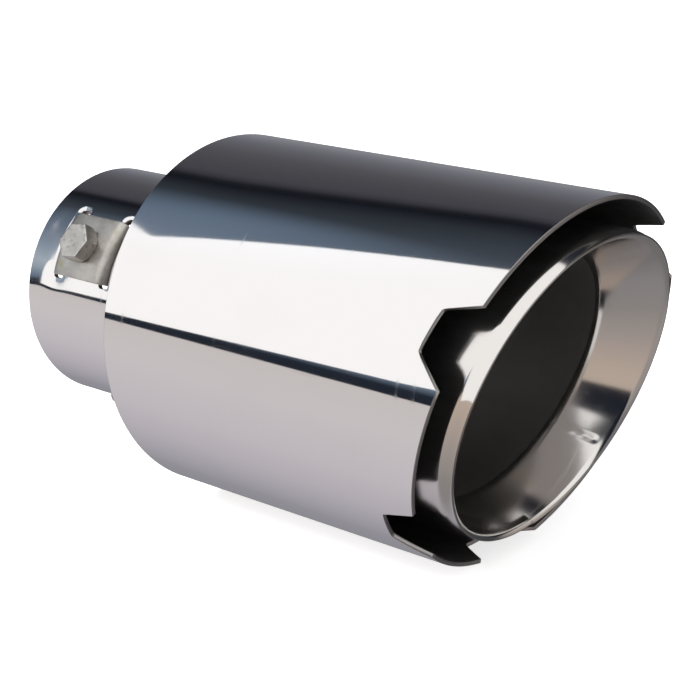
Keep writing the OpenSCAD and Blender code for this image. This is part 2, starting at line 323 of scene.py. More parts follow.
def spread(tree, value, low, high, to_low=0.0, to_high=1.0, kind="LINEAR"):
    """A value that is moved from one range to another, and kept in it."""
    sockets = {"Value": value, "From Min": low, "From Max": high, "To Min": to_low, "To Max": to_high}
    return put(tree, "ShaderNodeMapRange", sockets, interpolation_type=kind).outputs["Result"]


def fade(tree, value, low, high, to_high=1.0):
    """A value that rises softly from 0 while another one goes from low to high."""
    return spread(tree, value, low, high, 0.0, to_high, "SMOOTHSTEP")


def ramp(tree, factor, stops):
    """The colour of a Color Ramp whose stops are given as they show on screen."""
    made = put(tree, "ShaderNodeValToRGB", {"Fac": factor})
    elements = made.color_ramp.elements
    while len(elements) < len(stops):
        elements.new(0.5)
    for element, (place, values) in zip(elements, stops):
        element.position = place
    for element, (place, values) in zip(elements, stops):
        element.color = (*shown(*values), 1)
    return made.outputs["Color"]


def mix(tree, factor, first, second):
    """The colour of a Mix node."""
    made = put(tree, "ShaderNodeMix", data_type="RGBA")
    for name, value in (("Factor_Float", factor), ("A_Color", first), ("B_Color", second)):
        socket = next(s for s in made.inputs if s.identifier == name)
        if isinstance(value, bpy.types.NodeSocket):
            tree.links.new(value, socket)
        else:
            socket.default_value = value if name == "Factor_Float" else (*value[:3], 1)
    return next(s for s in made.outputs if s.identifier == "Result_Color")


def group(name, inputs, outputs, build):
    """A node group with these float inputs and outputs, which build() fills."""
    tree = bpy.data.node_groups.new(name, "ShaderNodeTree")
    for label, value in inputs:
        socket = tree.interface.new_socket(label, in_out="INPUT", socket_type="NodeSocketFloat")
        socket.default_value = value
    for label in outputs:
        tree.interface.new_socket(label, in_out="OUTPUT", socket_type="NodeSocketFloat")
    given = tree.nodes.new("NodeGroupInput")
    taken = tree.nodes.new("NodeGroupOutput")
    for label, socket in build(tree, given.outputs).items():
        tree.links.new(socket, taken.inputs[label])
    return tree


def cloud(tree, vector, scale, detail=2.0, rough=0.5):
    """A Noise texture's value."""
    sockets = {"Vector": vector, "Scale": scale, "Detail": detail, "Roughness": rough}
    return put(tree, "ShaderNodeTexNoise", sockets).outputs[0]


def streaks(tree, scale, detail=2.0, rough=0.5, turned=(0, 0, 0)):
    """A Noise texture's value in object coordinates that are turned and scaled."""
    coordinates = put(tree, "ShaderNodeTexCoord").outputs["Object"]
    sockets = {"Vector": coordinates, "Rotation": turned, "Scale": scale}
    return cloud(tree, put(tree, "ShaderNodeMapping", sockets).outputs["Vector"], 1.0, detail, rough)


def build_polishing(tree, given):
    """Fine lines round the axis, as a buffing wheel leaves them, and soft smears."""
    lines = streaks(tree, (9000, 120, 120), 3.0, 0.7)
    smears = streaks(tree, (26, 34, 34), 3.0, 0.6)
    rough = calc(tree, "MULTIPLY", spread(tree, lines, 0.35, 0.75), given["Lines"])
    smear = calc(tree, "MULTIPLY", fade(tree, smears, 0.5, 0.75), given["Smears"])
    return {"Roughness": calc(tree, "ADD", rough, smear), "Height": lines}


def build_scratches(tree, given):
    """Sparse hairline scratches in two directions."""
    found = []
    for turn, size in ((0.5, (700, 24, 24)), (-1.1, (30, 900, 900))):
        line = streaks(tree, size, 1.0, turned=(turn, turn * 0.7, 0.3))
        found.append(spread(tree, line, 0.70, 0.78))
    return {"Mask": calc(tree, "MULTIPLY", calc(tree, "MAXIMUM", *found), given["Amount"])}


def build_waves(tree, given):
    """Slow unevenness of hand-polished sheet."""
    slow = streaks(tree, (14, 22, 22), 1.0)
    middle = streaks(tree, (45, 70, 70), 1.0)
    return {"Height": calc(tree, "MULTIPLY_ADD", middle, given["Ripple"], slow)}


def build_grain(tree, given):
    """Grain of blasted or rolled steel, with sparse pits."""
    sockets = {0: put(tree, "ShaderNodeTexCoord").outputs["Object"], "Scale": given["Scale"]}
    scaled = put(tree, "ShaderNodeVectorMath", sockets, operation="SCALE").outputs[0]
    fine = cloud(tree, scaled, 1.0, 4.0, 0.7)
    pits = spread(tree, cloud(tree, scaled, 0.17), 0.56, 0.70)
    height = calc(tree, "SUBTRACT", fine, calc(tree, "MULTIPLY", pits, 0.6))
    return {"Fine": fine, "Pits": pits, "Height": height}


GROUPS = {}


def make_groups():
    """Builds the node groups that the metals share."""
    GROUPS["polishing"] = group(
        "Polishing marks", [("Lines", 0.02), ("Smears", 0.03)], ["Roughness", "Height"], build_polishing
    )
    GROUPS["scratches"] = group("Hairline scratches", [("Amount", 1.0)], ["Mask"], build_scratches)
    GROUPS["waves"] = group("Sheet unevenness", [("Ripple", 0.25)], ["Height"], build_waves)
    GROUPS["grain"] = group("Metal grain", [("Scale", 4000.0)], ["Fine", "Pits", "Height"], build_grain)


def place(tree, name, **values):
    """Places a shared node group with its own values."""
    made = tree.nodes.new("ShaderNodeGroup")
    made.node_tree = GROUPS[name]
    for label, value in values.items():
        made.inputs[label].default_value = value
    return made.outputs


def new_metal(name, metallic=1.0):
    """A new metallic material and its node tree."""
    material = bpy.data.materials.new(name)
    material.use_nodes = True
    tree = material.node_tree
    tree.nodes["Principled BSDF"].inputs["Metallic"].default_value = metallic
    return material, tree


def dressed(material, tone, rough, normal):
    """The material, with its colour, roughness and normal linked to its shader."""
    tree = material.node_tree
    shader = tree.nodes["Principled BSDF"]
    for label, value in (("Base Color", tone), ("Roughness", rough), ("Normal", normal)):
        tree.links.new(value, shader.inputs[label])
    return material


def shaded(tone, share):
    """A colour that is darkened or brightened to a share of itself."""
    return [min(1, c * share) for c in tone]


def bump(tree, height, strength, distance, normal=None):
    """A Bump node's normal."""
    sockets = {"Height": height, "Strength": strength, "Distance": distance}
    if normal is not None:
        sockets["Normal"] = normal
    return put(tree, "ShaderNodeBump", sockets).outputs["Normal"]


def mirror_steel(name, tone, polish, wave, smears=0.03):
    """Mirror polished sheet, slightly uneven, with polishing lines, smears and hairlines."""
    material, tree = new_metal(name)
    marks = place(tree, "polishing", Lines=0.018, Smears=smears)
    hairs = calc(tree, "MULTIPLY", place(tree, "scratches", Amount=0.5)["Mask"], 0.10)
    dull = mix(tree, spread(tree, marks["Roughness"], 0.0, 0.12), tone, shaded(tone, 0.93))
    rough = calc(tree, "ADD", calc(tree, "ADD", marks["Roughness"], hairs), polish)
    waves = bump(tree, place(tree, "waves", Ripple=0.22)["Height"], 1.0, wave * MM)
    return dressed(material, dull, rough, bump(tree, marks["Height"], 0.018, 0.02 * MM, waves))


def sheet_edge(name, tone):
    """The sheared and dressed edge of a sheet: brushed along its length, brighter where it is worn."""
    material, tree = new_metal(name)
    grain = place(tree, "grain", Scale=5200.0)
    worn = mix(tree, spread(tree, grain["Fine"], 0.35, 0.7), shaded(tone, 0.55), tone)
    rough = spread(tree, grain["Fine"], 0.2, 0.8, 0.22, 0.42)
    return dressed(material, worn, rough, bump(tree, grain["Height"], 0.25, 0.03 * MM))


def mill_steel(name, tone, rough, lining=0.35, marks=1.0):
    """Unpolished sheet with rolling lines and a few darker stains, as plain as its marks are weak."""
    material, tree = new_metal(name, 0.92)
    lines = streaks(tree, (90, 3200, 3200), 3.0, 0.7)
    stains = streaks(tree, (40, 60, 60), 4.0, 0.6)
    darker = mix(tree, spread(tree, stains, 0.4, 0.75, 0.0, marks), tone, shaded(tone, 0.55))
    lined = mix(tree, spread(tree, lines, 0.3, 0.8, 0.0, lining), darker, shaded(tone, 1.6))
    rough = spread(tree, stains, 0.3, 0.8, rough - 0.08 * marks, rough + 0.12 * marks)
    return dressed(material, lined, rough, bump(tree, lines, 0.12 * marks, 0.02 * MM))


def satin_steel(name, tone, scale, rough, pits=0.5, tint=None):
    """Blasted or rolled steel with grain, pits and worn, brighter spots."""
    material, tree = new_metal(name)
    grain = place(tree, "grain", Scale=scale)
    patches = streaks(tree, (160, 160, 160), 3.0, 0.6)
    base = mix(tree, spread(tree, patches, 0.35, 0.7), shaded(tone, 0.82), shaded(tone, 1.12))
    speckled = mix(tree, calc(tree, "MULTIPLY", grain["Pits"], pits), base, shaded(tone, 0.35))
    if tint:
        stain = streaks(tree, (210, 210, 210), 3.0, 0.6)
        speckled = mix(tree, spread(tree, stain, 0.58, 0.74, 0.0, 0.55), speckled, tint)
    rough = spread(tree, grain["Fine"], 0.25, 0.75, rough - 0.1, rough + 0.12)
    return dressed(material, speckled, rough, bump(tree, grain["Height"], 0.5, 0.05 * MM))


def weld_steel(name, tone):
    """Brushed weld metal with straw and blue heat tints that fade along it."""
    material, tree = new_metal(name)
    grain = place(tree, "grain", Scale=2600.0)
    zones = streaks(tree, (70, 70, 70))
    straw = mix(tree, spread(tree, zones, 0.38, 0.6, 0.0, 0.6), tone, shown(176, 146, 96))
    blue = mix(tree, spread(tree, zones, 0.6, 0.72, 0.0, 0.6), straw, shown(92, 96, 128))
    pitted = mix(tree, calc(tree, "MULTIPLY", grain["Pits"], 0.5), blue, (0.04, 0.035, 0.03))
    rough = spread(tree, grain["Fine"], 0.2, 0.8, 0.24, 0.5)
    return dressed(material, pitted, rough, bump(tree, grain["Height"], 0.35, 0.05 * MM))


METALS = {}


def make_metals():
    """Builds each metal once, from the finishes that are set."""
    f = settings().tip_finishes
    steel, liner, mill = tuple(f.steel), tuple(f.liner), tuple(f.mill)
    METALS["shell"] = mirror_steel("Outer mirror polish", steel, f.polish, wave=0.05)
    METALS["collar"] = mirror_steel("Collar mirror polish", steel, f.polish + 0.01, wave=0.05, smears=0.04)
    METALS["liner"] = mirror_steel("Liner polish", liner, f.polish + 0.08, wave=0.06, smears=0.06)
    METALS["mill"] = mill_steel("Unpolished steel", mill, 0.34)
    METALS["bore"] = mill_steel("Dull bore", tuple(f.bore), 0.30, 0.0, 0.15)
    METALS["edge"] = sheet_edge("Dressed sheet edge", shown(188, 186, 186))
    METALS["crest"] = sheet_edge("Ground rim", shown(170, 168, 166))
    METALS["ring"] = satin_steel("Satin ring steel", shown(196, 194, 192), 3000.0, 0.30)
    METALS["weld"] = weld_steel("Weld metal", tuple(f.weld))
    METALS["strap"] = satin_steel("Strap steel", tuple(f.strap), 5200.0, 0.42, 0.15, tuple(f.tint))
    METALS["bolt"] = satin_steel("Bolt steel", tuple(f.bolt), 4800.0, 0.34, 0.5)


def around(x, r, turn):
    """The point at x and radius r, turned from the long side towards the +Y side."""
    return Vector((x, r * math.sin(turn), r * math.cos(turn)))


def bend_round(bm, radius):
    """Bends a flat sheet round the axis: y is the arc from the long side, z the height on the radius."""
    for v in bm.verts:
        v.co = around(v.co.x, radius + v.co.z, v.co.y / radius)


def sheet(x0, x1, radius, rows, columns):
    """A flat sheet that will just reach round the axis."""
    bm = bmesh.new()
    bmesh.ops.create_grid(bm, x_segments=rows, y_segments=columns, size=0.5)
    bmesh.ops.scale(bm, vec=(x1 - x0, TAU * radius, 1), verts=bm.verts)
    bmesh.ops.translate(bm, vec=((x0 + x1) / 2, 0, 0), verts=bm.verts)
    return bm


def widened(outline, margin):
    """A convex outline, given anticlockwise, with each corner moved outwards."""
    found = []
    for before, here, after in zip(outline[-1:] + outline[:-1], outline, outline[1:] + outline[:1]):
        side = (Vector(after) - Vector(before)).normalized()
        found.append((here[0] + side.y * margin, here[1] - side.x * margin))
    return found


def nearest_on(point, outline):
    """The point of an outline that lies nearest to a point of the flat sheet, and how far away it is."""
    best, found = 1.0, None
    for (ax, ay), (bx, by) in zip(outline, outline[1:] + outline[:1]):
        ex, ey, px, py = bx - ax, by - ay, point.x - ax, point.y - ay
        t = max(0.0, min(1.0, (px * ex + py * ey) / (ex * ex + ey * ey)))
        away = math.hypot(px - t * ex, py - t * ey)
        if away < best:
            best, found = away, Vector((ax + t * ex, ay + t * ey, point.z))
    return found, best


def near_outline(bm, outline, margin):
    """The vertices of a flat sheet that lie in or near an outline's box."""
    low = [min(p[i] for p in outline) - margin for i in range(2)]
    high = [max(p[i] for p in outline) + margin for i in range(2)]
    return [v for v in bm.verts if low[0] < v.co.x < high[0] and low[1] < v.co.y < high[1]]


def once(elements):
    """Each element once, in the order in which it first comes."""
    return list(dict.fromkeys(elements))


def only(geom, kind):
    """The elements of one kind among what a bmesh operator gave back."""
    return [g for g in geom if isinstance(g, kind)]


def ringed_slot(bm, outline, width, rings):
    """Cuts a slot with narrow rings of faces round it, which can be rolled in later."""
    cut_out(bm, widened(outline, width))
    near = set(near_outline(bm, outline, width + 0.3 * MM))
    edges = [e for e in bm.edges if len(e.link_faces) == 1 and e.verts[0] in near and e.verts[1] in near]
    for ring in range(1, rings + 1):
        made = bmesh.ops.extrude_edge_only(bm, edges=edges)["geom"]
        edges = only(made, bmesh.types.BMEdge)
        for v in only(made, bmesh.types.BMVert):
            edge_point = nearest_on(v.co, outline)[0]
            v.co = edge_point + (v.co - edge_point) * (rings - ring) / (rings - ring + 1)


def cut_out(bm, outline):
    """Cuts a convex outline, given anticlockwise, out of a flat sheet."""
    points = [Vector((x, y, 0)) for x, y in outline]
    low = Vector([min(p[i] for p in points) for i in range(2)])
    high = Vector([max(p[i] for p in points) for i in range(2)])

    faces = []
    for f in bm.faces:
        xs, ys = [v.co.x for v in f.verts], [v.co.y for v in f.verts]
        if max(xs) > low.x and min(xs) < high.x and max(ys) > low.y and min(ys) < high.y:
            faces.append(f)
    for a, b in zip(points, points[1:] + points[:1]):
        side = (b - a).normalized()
        edges = once(e for f in faces for e in f.edges)
        geom = [*faces, *edges, *once(v for e in edges for v in e.verts)]
        outwards = (side.y, -side.x, 0)
        made = bmesh.ops.bisect_plane(bm, geom=geom, dist=ON_CUT, plane_co=a, plane_no=outwards)
        faces = once(f for f in only(made["geom"], bmesh.types.BMFace) if f.is_valid)

    def inside(point):
        """Whether a point lies in the outline."""
        return all((b - a).cross(point - a).z > 0 for a, b in zip(points, points[1:] + points[:1]))

    gone = [f for f in faces if inside(f.calc_center_median())]
    bmesh.ops.delete(bm, geom=gone, context="FACES")


def round_edges(bm, degrees, size, segments, clamp):
    """Bevels the edges that are folded by more than an angle."""
    sharp = [e for e in bm.edges if len(e.link_faces) == 2 and e.calc_face_angle() > math.radians(degrees)]
    bmesh.ops.bevel(
        bm, geom=sharp, offset=size, segments=segments, profile=0.5, affect="EDGES", material=-1,
        clamp_overlap=clamp,
    )


def thicken(bm, wall, round_by, half_turn):
    """Gives a flat sheet its wall downwards, leaves its two long ends open and rounds the cut edges.

    The faces then hold 0 for the top, 1 for the underside and 2 for the cut edges.
    """
    made = bmesh.ops.extrude_face_region(bm, geom=bm.faces[:])
    bmesh.ops.translate(bm, vec=(0, 0, -wall), verts=only(made["geom"], bmesh.types.BMVert))
    ends = [f for f in bm.faces if all(abs(abs(v.co.y) - half_turn) < ON_CUT for v in f.verts)]
    bmesh.ops.delete(bm, geom=ends, context="FACES_ONLY")
    bmesh.ops.recalc_face_normals(bm, faces=bm.faces)
    if sum(f.normal.z * f.calc_area() for f in bm.faces if f.calc_center_median().z > -wall / 3) < 0:
        bmesh.ops.reverse_faces(bm, faces=bm.faces)
    round_edges(bm, 35, round_by, 2, False)
    for f in bm.faces:
        heights = [v.co.z for v in f.verts]
        f.material_index = 0 if min(heights) > -ON_CUT else 1 if max(heights) < -wall + ON_CUT else 2


def keep_walls_smooth(mesh, walls):
    """Shades the walls as if they ran on past their cut edges, so that they mirror truly up to the edge."""
    sums = {}
    for p in mesh.polygons:
        if p.material_index in walls:
            for v in p.vertices:
                sums[v] = sums.get(v, Vector()) + p.normal * p.area
    own = {v.index: v.normal.copy() for v in mesh.vertices}
    corners = [loop.vertex_index for loop in mesh.loops]
    mesh.normals_split_custom_set([(sums[v] if v in sums else own[v]).normalized() for v in corners])


def new_object(bm, name, materials):
    """A new object in the scene, made from a bmesh and its materials."""
    mesh = bpy.data.meshes.new(name)
    bm.to_mesh(mesh)
    bm.free()
    for material in materials:
        mesh.materials.append(material)
    made = bpy.data.objects.new(name, mesh)
    settings().collection.objects.link(made)
    return made


def piece(bm, name, metals, slot, *nodes, walls=None, sharp=None):
    """Turns a bmesh into a finished piece that rides on the body and stands for its CAD nodes."""
    for f in bm.faces:
        f.smooth = True
    made = new_object(bm, name, [METALS[metal] for metal in metals])
    if walls:
        keep_walls_smooth(made.data, walls)
    if sharp:
        made.data.set_sharp_from_angle(angle=math.radians(sharp))
    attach(made, BODY)
    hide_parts(*nodes)


def notch_outline(s, turn):
    """A half hexagon that opens over the shell's front edge, in the flat sheet."""
    side = s.notch_mouth / 2
    sixty = math.radians(60)
    depth = side * math.sin(sixty)
    reach = 6 * MM
    half = side + reach / math.tan(sixty)
    r = s.notch_corner
    corner = Vector((-depth + r, side / 2 - r / math.tan(sixty)))
    upper = arc_points(corner.x, corner.y, r, 120, 180, 6)
    lower = [(x, -y) for x, y in reversed(upper)]
    rise = math.tan(s.slant)
    edge = s.front + rise * s.radius * math.cos(turn)
    lean = -math.atan(rise * math.sin(turn))
    placed = []
    for x, y in [(reach, half)] + upper + lower + [(reach, -half)]:
        along = x * math.cos(lean) - y * math.sin(lean)
        across = x * math.sin(lean) + y * math.cos(lean)
        placed.append((edge + along, -turn * s.radius + s.radius * math.asin(across / s.radius)))
    return placed


class TIP_OT_shell(Operator):
    """Build the outer shell: a rolled sheet with a slanted, notched front edge"""

    bl_idname = "exhaust_tip.shell"
    bl_label = "Outer shell"

    def execute(self, context):
        s = settings().tip_shell
        bm = sheet(s.back, s.front, s.radius, 1, s.columns)
        rise = math.tan(s.slant)
        for v in bm.verts:
            if v.co.x > (s.back + s.front) / 2:
                v.co.x = s.front + rise * s.radius * math.cos(v.co.y / s.radius)
        for turn in (s.notch_upper, -s.notch_upper, s.notch_lower, -s.notch_lower):
            cut_out(bm, notch_outline(s, turn))
        bottom = notch_outline(s, 0)
        whole = math.pi * s.radius
        shift = -2 * rise * s.radius
        for side in (1, -1):
            cut_out(bm, [(x + shift, y + side * whole) for x, y in bottom])
        thicken(bm, s.wall, s.edge_round, whole)
        bend_round(bm, s.radius)
        bmesh.ops.remove_doubles(bm, verts=bm.verts, dist=MERGE)
        piece(bm, "shell", ("shell", "mill", "edge"), "shell_polish", "outer_shell", walls=(0, 1))
        return {"FINISHED"}


def spun(section, columns):
    """A closed section of (x, radius) points, turned round the axis from the long side."""
    bm = bmesh.new()
    verts = [bm.verts.new((x, 0, r)) for x, r in section]
    edges = [bm.edges.new(pair) for pair in zip(verts, verts[1:] + verts[:1])]
    bmesh.ops.spin(
        bm, geom=verts + edges, cent=(0, 0, 0), axis=(1, 0, 0), angle=TAU, steps=columns, use_merge=True,
        use_duplicate=False,
    )
    bmesh.ops.recalc_face_normals(bm, faces=bm.faces)
    return bm


def arc_points(x, r, size, start, stop, steps):
    """Points of an arc round (x, r), with its angles in degrees from +x towards a larger r."""
    turns = [math.radians(start + (stop - start) * i / steps) for i in range(steps + 1)]
    return [(x + size * math.cos(a), r + size * math.sin(a)) for a in turns]


def seam_bead(u, arc):
    """Height of the welded seam on the flare, at a distance along it and across it."""
    if abs(arc) > SEAM_REACH or not SEAM_START < u < SEAM_STOP:
        return 0.0
    ends = min(1.0, (u - SEAM_START) / SEAM_FADE_IN, (SEAM_STOP - u) / SEAM_FADE_OUT)
    ripple = 0.93 + 0.07 * math.sin(u / (0.55 * MM) + 2 * abs(arc) / MM)
    return SEAM_HEIGHT * ends * ripple * math.exp(-(arc / SEAM_SPREAD) ** 2)


class TIP_OT_liner(Operator):
    """Build the liner: a sleeve that flares to a slanted rim, turned back there, with its welded seam"""

    bl_idname = "exhaust_tip.liner"
    bl_label = "Liner"

    def execute(self, context):
        s = settings().tip_liner
        start = s.rim_front - s.flare
        rise = math.tan(s.slant)
        cone_end = s.rim_front - LIP_LENGTH - start
        slope = (s.lip_start - s.throat) / (cone_end - s.bend / 2)

        def flared(u, outwards=0.0):
            """The flare's (x, radius) at a distance from its start, on its inner face or outwards of it."""
            grown = u * u / (2 * s.bend) if u < s.bend else u - s.bend / 2
            return start + u, s.throat + slope * grown + outwards

        skirt_back = s.rim_front - s.skirt
        nose_back = s.rim_front - s.nose
        skirt_inside = s.skirt_radius - s.wall
        outer = [(x, s.skirt_radius) for x in (skirt_back, skirt_back + HOLD, nose_back - 1.5 * HOLD)]
        drop = s.skirt_radius - s.rim_radius
        for t in [i / 12 for i in range(13)]:
            outer.append((nose_back + (s.nose - NOSE_END) * t, s.skirt_radius - drop * t ** NOSE_POWER))
        crest_middle = (s.rim_front - CREST_ROUND, s.rim_radius - CREST_ROUND)
        crest = arc_points(*crest_middle, CREST_ROUND, 70, 0, 4)
        lean = math.atan(slope)
        turns = [LIP_END + (lean - LIP_END) * i / 10 for i in range(11)]
        centre = (start + cone_end - s.lip * math.sin(lean), s.lip_start + s.lip * math.cos(lean))
        lip = [(centre[0] + s.lip * math.sin(a), centre[1] - s.lip * math.cos(a)) for a in turns]
        lip_radius = lip[0][1]
        crest += [(s.rim_front, lip_radius + 0.22 * MM), (s.rim_front - 0.06 * MM, lip_radius + 0.08 * MM)]
        rows = 30
        cone = [flared(cone_end + (s.bend - cone_end) * i / rows) for i in range(1, rows)]
        cone += [flared(s.bend * i / 8) for i in range(8, -1, -1)]
        ends = (start - HOLD, s.back + HOLD, s.back)
        sleeve = [(x, s.throat) for x in ends] + [(x, s.throat + s.wall) for x in reversed(ends)]
        behind = [flared(s.bend * i / 4, s.wall) for i in range(5)]
        fold = start + s.bend / 2 + (skirt_inside - s.wall - s.throat) / slope
        skirt = [(fold, skirt_inside), (skirt_back, skirt_inside)]
        bm = spun(outer + crest + lip + cone + sleeve + behind + skirt, s.columns)
        for f in bm.faces:
            middle = f.calc_center_median()
            radius = math.hypot(middle.y, middle.z)
            within = f.normal.y * middle.y + f.normal.z * middle.z < 0
            on_crest = middle.x > s.rim_front - 0.3 * MM and radius > lip_radius + 0.05 * MM
            f.material_index = 2 if on_crest else 1 if within and middle.x < start + 0.3 * MM else 0
        for v in bm.verts:
            turn, radius = math.atan2(v.co.y, v.co.z), math.hypot(v.co.y, v.co.z)
            x, behind_rim = v.co.x, s.rim_front - v.co.x
            is_outer = radius > s.rim_radius - 0.15 * MM
            seam = 0.0 if is_outer else seam_bead(x - start, (turn - s.seam) * radius)
            push = max(0.0, 1 - behind_rim / (s.nose if is_outer else s.flare))
            if is_outer:
                push *= push * (3 - 2 * push)
            after = (turn - s.joint) % TAU
            step = math.exp(-after / JOINT_SWEEP) * max(0.0, 1 - behind_rim / JOINT_DEPTH)
            radius -= seam + push * RIM_SQUEEZE * math.sin(turn) ** 2 + JOINT_STEP * step
            v.co = around(x, radius, turn) + RIM_SHIFT * push
            if x > s.back + 2 * MM:
                v.co.x += rise * v.co.z
        piece(bm, "flared_liner", ("liner", "bore", "crest"), "liner_polish", "liner", sharp=30)
        return {"FINISHED"}


class TIP_OT_collar(Operator):
    """Build the inlet collar: a tube with the clamps' slots, pulled in a little round them"""

    bl_idname = "exhaust_tip.collar"
    bl_label = "Inlet collar"

    def execute(self, context):
        s, c = settings().tip_collar, settings().tip_clamps
        whole = math.pi * s.radius
        bm = sheet(0, s.length, s.radius, COLLAR_ROWS, s.columns)
        slot_width = c.strap_bend + 2 * c.slot_room
        back = c.centre - c.strap_length / 2
        reach = s.radius * c.slot_sweep / 2 - SLOT_CORNER
        slots = []
        for place_of_clamp in clamp_turns(c):
            middle = ((c.slot_shift - place_of_clamp + math.pi) % TAU - math.pi) * s.radius
            for x in (back - c.slot_room, back + c.strap_length + c.slot_room - slot_width):
                a, b = x + SLOT_CORNER, x + slot_width - SLOT_CORNER
                points = []
                for cx, arc, start in ((b, -reach, -90), (b, reach, 0), (a, reach, 90), (a, -reach, 180)):
                    points += arc_points(cx, middle + arc, SLOT_CORNER, start, start + 90, 4)
                slots.append(points)
        for points in slots:
            ringed_slot(bm, points, ROLL_WIDTH, ROLL_RINGS)
        thicken(bm, s.wall, COLLAR_EDGE, whole)
        for points in slots:
            middle = sum(y for x, y in points) / len(points)
            half = max(y for x, y in points) - middle
            for v in near_outline(bm, points, ROLL_WIDTH):
                near = nearest_on(v.co, points)[1] / ROLL_WIDTH
                if near < 1:
                    upper = (v.co.y - middle) / half * (-1 if middle > 0 else 1)
                    at_end = max(0.0, min(1.0, (upper - ROLL_FROM) / ROLL_OVER))
                    v.co.z -= ROLL_DEPTH * (ROLL_LEAST + (1 - ROLL_LEAST) * at_end) * (1 - near) ** 2
        for v in bm.verts:
            v.co.z -= pull_in(v.co.x, v.co.y / s.radius, s, c)
        bend_round(bm, s.radius)
        bmesh.ops.remove_doubles(bm, verts=bm.verts, dist=MERGE)
        piece(bm, "collar", ("collar", "bore", "edge"), "collar_polish", "inlet_collar", walls=(0, 1))
        return {"FINISHED"}


def clamp_turns(c):
    """The three clamps' angles from the long side, towards the -Y flank."""
    return (c.first, c.first + c.pitch, c.first - c.pitch)


def pull_in(x, turn, s, c):
    """How far the sheet of the collar has been drawn in beside the tightened clamps."""
    depth = 0.0
    for place_of_clamp in clamp_turns(c):
        away = -((turn + place_of_clamp + math.pi) % TAU - math.pi) * s.radius
        for middle_x, middle_arc, reach_x, reach_arc, slope in DENTS:
            along, across = (x - middle_x * MM) / (reach_x * MM), (away - middle_arc * MM) / (reach_arc * MM)
            depth += slope * along * reach_x * MM * math.exp(-along * along - across * across)
    return s.dent * depth


class TIP_OT_end_ring(Operator):
    """Build the rear end ring: a flat face with a flange folded forward on the collar"""

    bl_idname = "exhaust_tip.end_ring"
    bl_label = "Rear end ring"

    def execute(self, context):
        s, shell = settings().tip_collar, settings().tip_shell
        inner = s.radius + RING_ROOM
        outer = shell.radius - shell.wall - RING_ROOM
        x, wall, bend = s.ring_x, s.ring_wall, s.ring_bend
        section = [(x, outer), (x, inner + bend + 3 * MM), (x, inner + bend + 0.5 * MM)]
        section += arc_points(x + bend, inner + bend, bend, 180, 270, 10)
        section += [(x + bend + HOLD, inner), (x + s.ring_flange, inner), (x + s.ring_flange, inner + wall)]
        section += [(x + bend + HOLD, inner + wall)]
        section += arc_points(x + bend, inner + bend, bend - wall, 270, 180, 6)
        section += [(x + wall, inner + bend + 0.5 * MM), (x + wall, outer)]
        bm = spun(section, 360)
        piece(bm, "end_ring", ("ring",), "ring_steel", "rear_end_ring", sharp=35)
        return {"FINISHED"}


def weld_bead(name, corner_x, corner_r, leg, start, stop, pitch, node, seed):
    """A fillet bead in the corner at (corner_x, corner_r), with the ripples of its weld pool."""
    section = [(corner_x, corner_r)] + arc_points(corner_x, corner_r, leg, start, stop, 9)
    ripples = round(TAU * corner_r / pitch)
    bm = spun(section, ripples * BEAD_STRIPS)
    for v in bm.verts:
        turn = math.atan2(v.co.y, v.co.z)
        out = Vector((v.co.x - corner_x, math.hypot(v.co.y, v.co.z) - corner_r))
        if out.length < leg * 0.5:
            continue
        way = math.atan2(out.y, out.x)
        uneven = noise.noise(Vector((seed, 5 * math.sin(turn), 5 * math.cos(turn))))
        ripple = math.sin(turn * ripples - BEAD_LAG * abs(way))
        grow = 1 - BEAD_SINK + BEAD_RIPPLE * ripple + BEAD_UNEVEN * uneven
        middle = math.sin(math.pi * (math.degrees(way) % 360 - start) / (stop - start))
        grow = 1 + (grow - 1) * max(0.0, middle)
        v.co = around(corner_x + out.x * grow, corner_r + out.y * grow, turn)
    bmesh.ops.recalc_face_normals(bm, faces=bm.faces)
    piece(bm, name, ("weld",), "weld_bead", node)


class TIP_OT_welds(Operator):
    """Build the three weld beads: shell to ring, collar to ring and liner to collar"""

    bl_idname = "exhaust_tip.welds"
    bl_label = "Weld beads"

    def execute(self, context):
        shell, s, liner = settings().tip_shell, settings().tip_collar, settings().tip_liner
        inside = shell.radius - shell.wall
        weld_bead("shell_bead", s.ring_x, inside, 1.5 * MM, 180, 270, 1.0 * MM, "shell_weld", 3)
        weld_bead("collar_bead", s.ring_x, s.radius, 2.4 * MM, 90, 180, 1.3 * MM, "collar_weld", 8)
        weld_bead("liner_bead", liner.back, s.radius, 1.1 * MM, 90, 180, 1.2 * MM, "liner_weld", 14)
        return {"FINISHED"}


